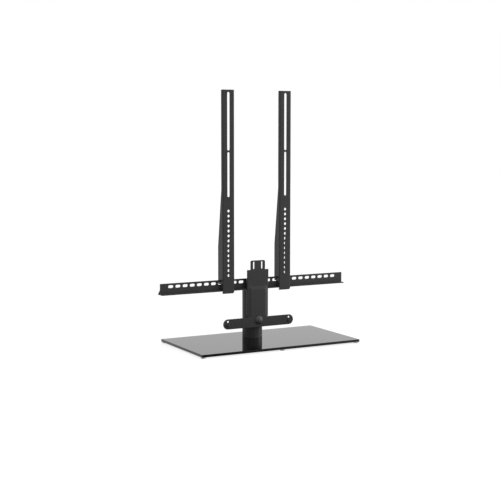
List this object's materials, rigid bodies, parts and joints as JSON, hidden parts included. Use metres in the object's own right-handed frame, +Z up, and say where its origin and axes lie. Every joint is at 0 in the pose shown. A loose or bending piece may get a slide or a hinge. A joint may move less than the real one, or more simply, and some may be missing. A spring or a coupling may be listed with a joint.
{
  "type": "television stand",
  "caption": "Television stand on a rectangular black glass foot: swivelling round column, slotted crossbar, upright slotted rails that slide along it, and a soundbar bracket.",
  "frame": {"origin": "middle of the glass foot, on the surface that the pads stand on", "axes": "+Z up along the column; -Y towards the front, where the television faces; +X along the crossbar, to the right seen from the front"},
  "size_m": [0.646, 0.297, 0.785],
  "materials": {
    "dark_metal": "satin dark grey powder coat",
    "black_glass": "polished opaque black",
    "clear_pad": "translucent soft",
    "zinc_steel": "zinc plated",
    "black_steel": "black oxide",
    "black_plastic": "satin moulded"
  },
  "bodies": {
    "base": {"glass_base": "black_glass", "pad_front_left": "clear_pad", "pad_front_middle": "clear_pad", "pad_front_right": "clear_pad", "pad_back_left": "clear_pad", "pad_back_middle": "clear_pad", "pad_back_right": "clear_pad", "under_plate": "black_steel", "pivot_flange": "zinc_steel", "base_screw_1": "zinc_steel", "base_screw_2": "zinc_steel", "base_screw_3": "zinc_steel", "swivel_stop_pin": "zinc_steel", "slip_ring": "black_plastic", "bearing_washer": "zinc_steel", "disc_springs": "black_steel", "lock_nut": "zinc_steel"},
    "mast": {"column_tube": "dark_metal", "mast_channel": "dark_metal", "crossbar": "dark_metal", "soundbar_bracket": "dark_metal", "bracket_screw_left": "dark_metal", "bracket_screw_right": "dark_metal", "saddle_lower": "black_steel", "saddle_upper": "black_steel", "rear_washer_lower": "black_steel", "rear_washer_upper": "black_steel", "clamp_bolt_upper": "black_steel", "clamp_bolt_lower": "black_steel", "bar_block": "black_steel", "bar_bolt_left": "black_steel", "bar_bolt_right": "black_steel", "tube_plug": "zinc_steel", "dome_nut": "zinc_steel", "bracket_nut_left": "zinc_steel", "bracket_nut_right": "zinc_steel", "bar_washer_left": "zinc_steel", "bar_washer_right": "zinc_steel", "tube_cap": "black_plastic", "bracket_cap": "black_plastic"},
    "left_rail": {"left_rail": "dark_metal", "left_lock_screw": "black_steel"},
    "right_rail": {"right_rail": "dark_metal", "right_lock_screw": "black_steel"}
  },
  "joints": [
    {"name": "swivel", "type": "hinge", "parent": "base", "child": "mast", "pos_m": [0, 0.0535, 0.0121], "axis": [0, 0, 1], "range_deg": [-30, 30]},
    {"name": "left_rail_slide", "type": "slide", "parent": "mast", "child": "left_rail", "axis": [1, 0, 0], "range_m": [-0.2, 0.04]},
    {"name": "right_rail_slide", "type": "slide", "parent": "mast", "child": "right_rail", "axis": [1, 0, 0], "range_m": [-0.04, 0.2]}
  ]
}
